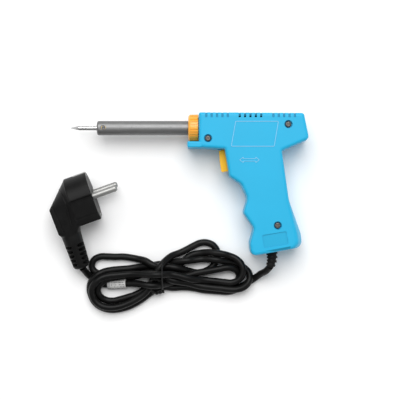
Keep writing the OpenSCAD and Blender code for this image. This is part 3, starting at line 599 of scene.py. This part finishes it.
def sleeve_frame(line):
    """A matrix at the middle of a line, with X along it and Z as upright as it can be."""
    along = Vector(line[-1] - line[0]).normalized()
    across = Vector((0, 0, 1)).cross(along).normalized()
    turned = Matrix((along, across, along.cross(across))).transposed().to_4x4()
    turned.translation = Vector(line[len(line) // 2])
    return turned


def crumple(ring, from_end, angle):
    """How far the sleeve stands out, as a share of its radius: creases, and flared ends."""
    crease = (0.022 * math.sin(3 * angle + 0.06 * ring) + 0.014 * math.sin(7 * angle - 0.11 * ring)
              + 0.012 * math.sin(0.5 * ring))
    flare = 0.03 * math.exp(-from_end / 2.0)
    return 1 + crease + flare - 0.03


def sleeve(name, spine, outer, inner, material):
    """A thin crumpled tube with a bore, closed at both rims, along a spine of points."""
    count = len(spine)
    verts, faces = [], []
    for bore in (False, True):
        for i, p in enumerate(spine):
            for k in range(SLEEVE_SIDES):
                a = 2 * math.pi * k / SLEEVE_SIDES
                r = inner if bore else outer * crumple(i, min(i, count - 1 - i), a)
                verts.append((p.x, p.y + r * math.cos(a), p.z + r * math.sin(a)))
    base = count * SLEEVE_SIDES
    for k in range(SLEEVE_SIDES):
        m = (k + 1) % SLEEVE_SIDES
        for i in range(count - 1):
            here, ahead = i * SLEEVE_SIDES, (i + 1) * SLEEVE_SIDES
            quad = (here + k, here + m, ahead + m, ahead + k)
            faces.append(quad)
            faces.append(tuple(base + v for v in reversed(quad)))
        for rim in (0, (count - 1) * SLEEVE_SIDES):
            quad = (rim + k, rim + m, base + rim + m, base + rim + k)
            faces.append(quad if rim else quad[::-1])
    return mesh_object(name, verts, faces, material)


def twisted_pair(points, wire):
    """Two wires wound round each other along points, as two lists of points."""
    tangent = np.gradient(points, axis=0)
    tangent /= np.linalg.norm(tangent, axis=1)[:, None]
    side = np.cross(tangent, [0.2, 0.1, 1.0])
    side /= np.linalg.norm(side, axis=1)[:, None]
    other = np.cross(tangent, side)
    turn = np.linspace(0, 2 * math.pi * TAIL_TURNS, len(points))[:, None]
    return [points + wire * (np.cos(turn + phase) * side + np.sin(turn + phase) * other)
            for phase in (0, math.pi)]


# ---- Settings --------------------------------------------------------------------------------


def colour(name, description, value):
    return FloatVectorProperty(name=name, description=description, default=value, size=3,
                               subtype="COLOR", min=0, max=1)


def length(name, description, value):
    return FloatProperty(name=name, description=description, default=value, unit="LENGTH",
                         subtype="DISTANCE", min=0)


class IronSizes(bpy.types.PropertyGroup):
    """Sizes that the looks add to the CAD model"""

    lead_diameter: length("Lead diameter", "Diameter of the mains lead", LEAD_D * MM)
    tie_wire: length("Tie wire", "Radius of the wire round the hank", 0.00062)
    label_length: length("Label length", "Length of the sleeve label on the lead", 0.0146)
    label_radius: length("Label radius", "Outside radius of the sleeve label", 0.0037)
    camera_height: length("Camera height", "Height of the camera above the floor", 0.866)
    view_width: length("View width", "Width that the camera takes in", 0.303)


class IronFinishes(bpy.types.PropertyGroup):
    """Colours of the finishes"""

    casing: colour("Casing", "Blue plastic of the casing halves", (0.016, 0.41, 0.68))
    collar: colour("Collar nut", "Orange-yellow plastic of the collar nut", (0.90, 0.40, 0.045))
    trigger: colour("Trigger", "Amber plastic of the trigger", (0.93, 0.48, 0.02))
    barrel: colour("Barrel", "Dull plated steel of the barrel", (0.24, 0.24, 0.24))
    bit: colour("Bit", "Plated steel of the bit", (0.52, 0.52, 0.52))
    black: colour("Black plastic", "Plug and strain relief", (0.0045, 0.0045, 0.0045))
    lead: colour("Lead", "Black jacket of the lead", (0.004, 0.004, 0.004))
    label: colour("Label", "White of the sleeve label", (0.52, 0.52, 0.51))
    floor: colour("Floor", "Pale floor", (0.95, 0.95, 0.95))


# The middle of what the camera takes in, and the height that it is measured at
VIEW_MIDDLE = (0.0083, -0.0121)
VIEW_HEIGHT = 0.016
SENSOR = 36
WORLD_STRENGTH = 0.4
# Name, place, width in metres and power in watts
SOFTBOXES = (("softbox_top", (0, 0.85, 1.5), 1.5, 31),
             ("softbox_left", (-1.1, 0.3, 0.9), 0.8, 2),
             ("softbox_right", (1.2, -0.5, 0.4), 0.7, 2))
LIGHTS_AIM = Vector((0, -0.03, 0))
FLOOR_REACH = 2


# ---- Operators -------------------------------------------------------------------------------


class IronStage(bpy.types.Operator):
    """Camera straight above, a pale floor and soft light"""

    bl_idname = "iron.stage"
    bl_label = "Stage"

    def execute(self, context):
        scene = context.scene
        sizes = scene.iron_sizes
        finishes = scene.iron_finishes
        scene.view_settings.view_transform = "Standard"
        camera = bpy.data.cameras.new("camera")
        camera.sensor_width = SENSOR
        camera.lens = SENSOR * (sizes.camera_height - VIEW_HEIGHT) / sizes.view_width
        camera.clip_end = 10
        holder = bpy.data.objects.new("camera", camera)
        holder.location = (*VIEW_MIDDLE, sizes.camera_height)
        scene.collection.objects.link(holder)
        scene.camera = holder
        world = bpy.data.worlds.new("studio")
        world.use_nodes = True
        background = world.node_tree.nodes["Background"]
        background.inputs["Color"].default_value = (1, 1, 1, 1)
        background.inputs["Strength"].default_value = WORLD_STRENGTH
        scene.world = world
        for name, where, size, power in SOFTBOXES:
            light = bpy.data.lights.new(name, "AREA")
            light.shape = "SQUARE"
            light.size = size
            light.energy = power
            lamp = bpy.data.objects.new(name, light)
            lamp.location = where
            aim = LIGHTS_AIM - lamp.location
            lamp.rotation_euler = aim.to_track_quat("-Z", "Y").to_euler()
            scene.collection.objects.link(lamp)
        board = Board("floor", finishes.floor, 0.85)
        cloud = board.noise(3.0)
        board.to("Roughness", 0.8 + cloud * 0.1)
        r = FLOOR_REACH
        floor = mesh_object("floor", [(-r, -r, 0), (r, -r, 0), (r, r, 0), (-r, r, 0)],
                            [(0, 1, 2, 3)], board.material)
        return {"FINISHED"}


class IronLead(bpy.types.Operator):
    """The mains lead in its hank"""

    bl_idname = "iron.lead"
    bl_label = "Mains lead"

    def execute(self, context):
        sizes = context.scene.iron_sizes
        finishes = context.scene.iron_finishes
        STATE["lead"] = settle(lead_route())
        lead = place_lead(STATE["lead"], sizes.lead_diameter)
        lead.data.materials.append(rubber("lead_rubber", tuple(finishes.lead), 0.34, 0.3))
        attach(lead, "iron")
        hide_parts("cord_run_gun", "cord_hank", "cord_run_plug")
        STATE["lead_piece"] = lead
        return {"FINISHED"}


class IronTie(bpy.types.Operator):
    """Wire tie round the waist of the hank, with its twisted end"""

    bl_idname = "iron.tie"
    bl_label = "Wire tie"

    def execute(self, context):
        sizes = context.scene.iron_sizes
        wire = sizes.tie_wire / MM
        ring = waist_outline(STATE["lead"], wire)
        skin = rubber("tie_plastic", (0.014, 0.014, 0.014), 0.3, 0.15, 1500.0)
        band = swept([spot(*p) for p in ring], sizes.tie_wire, 10, "hank_tie", skin, closed=True)
        tail = evenly(curve_through(TIE_TAIL, 12), TAIL_STEP)
        pieces = [band]
        for number, strand in enumerate(twisted_pair(tail, wire * TAIL_SPREAD), 1):
            strand[:, 2] = np.maximum(strand[:, 2], wire)
            pieces.append(swept([spot(*p) for p in strand], sizes.tie_wire, 10,
                                f"tie_end_{number}", skin))
        for piece in pieces:
            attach(piece, "iron")
        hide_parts("cord_tie")
        STATE["tie"] = pieces
        return {"FINISHED"}


class IronLabel(bpy.types.Operator):
    """White sleeve label on the lead"""

    bl_idname = "iron.label"
    bl_label = "Sleeve label"

    def execute(self, context):
        sizes = context.scene.iron_sizes
        finishes = context.scene.iron_finishes
        tail = STATE["lead"][-LABEL_SEARCH:]
        middle = tail[np.argmin(np.linalg.norm(tail[:, :2] - LABEL_MID, axis=1))]
        fine = evenly(curve_through(tail, 6), SLEEVE_STEP)
        centre = int(np.argmin(np.linalg.norm(fine - middle, axis=1)))
        reach = int(sizes.label_length / MM / 2 / SLEEVE_STEP)
        line = np.array([spot(*p) for p in fine[centre - reach:centre + reach + 1]])
        if line[-1][0] < line[0][0]:
            line = line[::-1]
        place = sleeve_frame(line)
        spine = [place.inverted() @ Vector(p) for p in line]
        label = sleeve("lead_label", spine, sizes.label_radius,
                       sizes.lead_diameter / 2 + LABEL_CLEARANCE,
                       printed_sleeve("label_paper", finishes.label))
        label.matrix_world = place
        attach(label, "iron")
        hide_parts("cord_label")
        STATE["label"] = label
        return {"FINISHED"}


PLUG_VOXEL = 0.00042
SEAM_RADIUS = 0.0004
SEAM_STEP = 0.8
# Clear of the plug, for laying its seams down onto it
ABOVE_PLUG = 60
# Moulded seams on the upper side of the plug: the back of its rim and the ridge of its arm
PLUG_SEAMS = {
    "plug_seam_1_1": [(-104.6, -46.8), (-102.7, -48.7), (-100.8, -51.8), (-99.6, -54.9),
                      (-98, -58), (-96.9, -62.7), (-95.7, -68.1), (-94.6, -73.6)],
    "plug_seam_2_1": [(-109.6, -60.4), (-107.7, -64.2), (-104.6, -71.1), (-101.1, -79.7)],
}


def laid_on(body, plan):
    """A line given in plan, laid down onto the body's upper surface."""
    found = []
    for x, y, _ in evenly(np.array([(x, y, 0) for x, y in curve_through(plan, 8)]), SEAM_STEP):
        hit, place, _, _ = body.ray_cast(spot(x, y, ABOVE_PLUG), Vector((0, 0, -1)))
        if hit:
            found.append(place)
    return found


def rounded_copy(node, name, material):
    """A copy of a CAD solid with every corner rounded."""
    body = bpy.data.objects.new(name, NODES[node].data.copy())
    bpy.context.scene.collection.objects.link(body)
    weld = body.modifiers.new("weld", "WELD")
    weld.merge_threshold = 2 * WELD_METRES
    remesh = body.modifiers.new("remesh", "REMESH")
    remesh.mode = "VOXEL"
    remesh.voxel_size = PLUG_VOXEL
    rounding = body.modifiers.new("smooth", "SMOOTH")
    rounding.factor = 0.5
    rounding.iterations = 5
    bpy.context.view_layer.update()
    graph = bpy.context.evaluated_depsgraph_get()
    mesh = bpy.data.meshes.new_from_object(body.evaluated_get(graph))
    body.modifiers.clear()
    body.data = mesh
    return finished(body, material, 60)


class IronPlug(bpy.types.Operator):
    """Moulded plug, its pins and its earth clips"""

    bl_idname = "iron.plug"
    bl_label = "Mains plug"

    def execute(self, context):
        finishes = context.scene.iron_finishes
        skin = rubber("plug_rubber", tuple(finishes.black), 0.42, 0.25, 1100.0)
        body = rounded_copy("plug_body", "plug_moulding", skin)
        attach(body, "iron")
        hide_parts("plug_body")
        bpy.context.view_layer.update()
        seams = [swept(laid_on(body, plan), SEAM_RADIUS, 8, name, skin)
                 for name, plan in PLUG_SEAMS.items()]
        for seam in seams:
            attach(seam, "iron")
        pin = metal("pin_nickel", (0.36, 0.36, 0.35), 0.46, (300, 300, 4000))
        for node in ("plug_pins", "plug_earth_clips"):
            ease(node, pin, 0.12)
        tuple(spot(*LOOPS[0][0]))
        return {"FINISHED"}


CASING_SHEEN = 0.26
TRIGGER_SHEEN = 0.2
# How much of the casing's own colour stays in its raised marks
MARK_STRENGTH = 0.8


class IronCasings(bpy.types.Operator):
    """The two blue halves of the casing"""

    bl_idname = "iron.casings"
    bl_label = "Casing halves"

    def execute(self, context):
        finishes = context.scene.iron_finishes
        blue = tuple(finishes.casing)
        pale = [1 + MARK_STRENGTH * (c - 1) for c in blue]
        soft = {"Specular IOR Level": CASING_SHEEN}
        # The front half's material has painted shade in its blind slots and sunk panel, besides
        # its pale raised marks
        shaded_marked = moulded("casing_painted_shade_marks", blue, 0.4, 0.35, 0.03, pale, **soft)
        ease("shell_front", shaded_marked, 0.22, 28)
        ease("shell_back", moulded("casing_blue", blue, 0.4, 0.35, 0.03, **soft), 0.22, 28)
        return {"FINISHED"}


class IronFront(bpy.types.Operator):
    """Collar nut, barrel, bit and trigger"""

    bl_idname = "iron.front"
    bl_label = "Barrel and trigger"

    def execute(self, context):
        finishes = context.scene.iron_finishes
        ease("collar_nut", moulded("collar_yellow", tuple(finishes.collar), 0.25, 0.3, 0.04), 0.15)
        amber = moulded("trigger_amber", tuple(finishes.trigger), 0.4, 0.6, 0.07,
                        **{"Specular IOR Level": TRIGGER_SHEEN})
        ease("trigger", amber, 0.3)
        ease("barrel_tube", metal("barrel_nickel", tuple(finishes.barrel), 0.52,
                                  (5200, 180, 180)), 0)
        ease("bit", metal("bit_plate", tuple(finishes.bit), 0.28, (2500, 500, 500)), 0.08)
        ease("bit_clamp_screw", metal("set_screw", (0.12, 0.12, 0.12), 0.4, (900, 900, 900)), 0.06)
        ease("strain_relief", rubber("relief_rubber", tuple(finishes.black), 0.45, 0.3), 0.25)
        return {"FINISHED"}


class IronInside(bpy.types.Operator):
    """Screws and every piece inside the casing"""

    bl_idname = "iron.inside"
    bl_label = "Screws and inner pieces"

    def execute(self, context):
        zinc = metal("zinc_screw", (0.15, 0.14, 0.13), 0.5, (1800, 1800, 300))
        steel = metal("plain_steel", (0.45, 0.45, 0.46), 0.36, (2400, 300, 300))
        brass = metal("brass", (0.72, 0.52, 0.22), 0.34, (1500, 400, 400))
        finish = {
            zinc: ("shell_screws", "clamp_screws", "collar_washer"),
            steel: ("barrel_flange", "trigger_pin", "trigger_spring"),
            brass: ("bit_bush", "switch_terminals", "terminal_screws", "earth_ring"),
            fired("white_ceramic", (0.80, 0.77, 0.70), 0.7): ("heater_core", "heater_bead"),
            metal("heating_wire", (0.30, 0.24, 0.21), 0.5, (3000, 3000, 3000)):
                ("heater_winding",),
            fired("mica", (0.55, 0.43, 0.24), 0.45, 400.0): ("heater_sleeve",),
            fired("glass_sleeving", (0.72, 0.69, 0.60), 0.8, 2400.0): ("heater_leads",),
            moulded("switch_black", (0.02, 0.02, 0.022), 0.4): ("switch_body", "cord_clamp"),
            moulded("plunger_red", (0.45, 0.03, 0.02), 0.3): ("switch_plunger",),
            moulded("diode_epoxy", (0.016, 0.016, 0.017), 0.5): ("diode",),
            moulded("block_cream", (0.72, 0.68, 0.56), 0.45): ("terminal_block",),
            rubber("brown_wire", (0.16, 0.06, 0.03), 0.4, 0.1): ("supply_wires",),
            rubber("green_wire", (0.12, 0.34, 0.04), 0.4, 0.1): ("earth_wire",),
            rubber("tail_rubber", (0.012, 0.012, 0.012), 0.38, 0.2): ("cord_tail",),
        }
        wound = ("trigger_spring", "heater_leads", "supply_wires", "earth_wire", "heater_winding",
                 "cord_tail")
        for material, nodes in finish.items():
            for node in nodes:
                ease(node, material, 0 if node in wound else 0.08)
        return {"FINISHED"}


STEPS = (IronStage, IronLead, IronTie, IronLabel, IronPlug, IronCasings, IronFront, IronInside)


class IronPanel(bpy.types.Panel):
    """Lists the steps, the sizes and the finishes"""

    bl_idname = "VIEW3D_PT_iron"
    bl_label = "Soldering iron"
    bl_space_type = "VIEW_3D"
    bl_region_type = "UI"
    bl_category = "Soldering iron"

    def draw(self, context):
        for group in (context.scene.iron_sizes, context.scene.iron_finishes):
            box = self.layout.box()
            for name in group.__annotations__:
                box.prop(group, name)
        for step in STEPS:
            self.layout.operator(step.bl_idname)


CLASSES = (IronSizes, IronFinishes, *STEPS, IronPanel)


def register():
    for item in CLASSES:
        bpy.utils.register_class(item)
    bpy.types.Scene.iron_sizes = PointerProperty(type=IronSizes)
    bpy.types.Scene.iron_finishes = PointerProperty(type=IronFinishes)


def unregister():
    del bpy.types.Scene.iron_finishes
    del bpy.types.Scene.iron_sizes
    for item in reversed(CLASSES):
        bpy.utils.unregister_class(item)


def main():
    register()
    bpy.ops.iron.stage()
    bpy.ops.iron.lead()
    bpy.ops.iron.tie()
    bpy.ops.iron.label()
    bpy.ops.iron.plug()
    bpy.ops.iron.casings()
    bpy.ops.iron.front()
    bpy.ops.iron.inside()


if __name__ == "__main__":
    main()
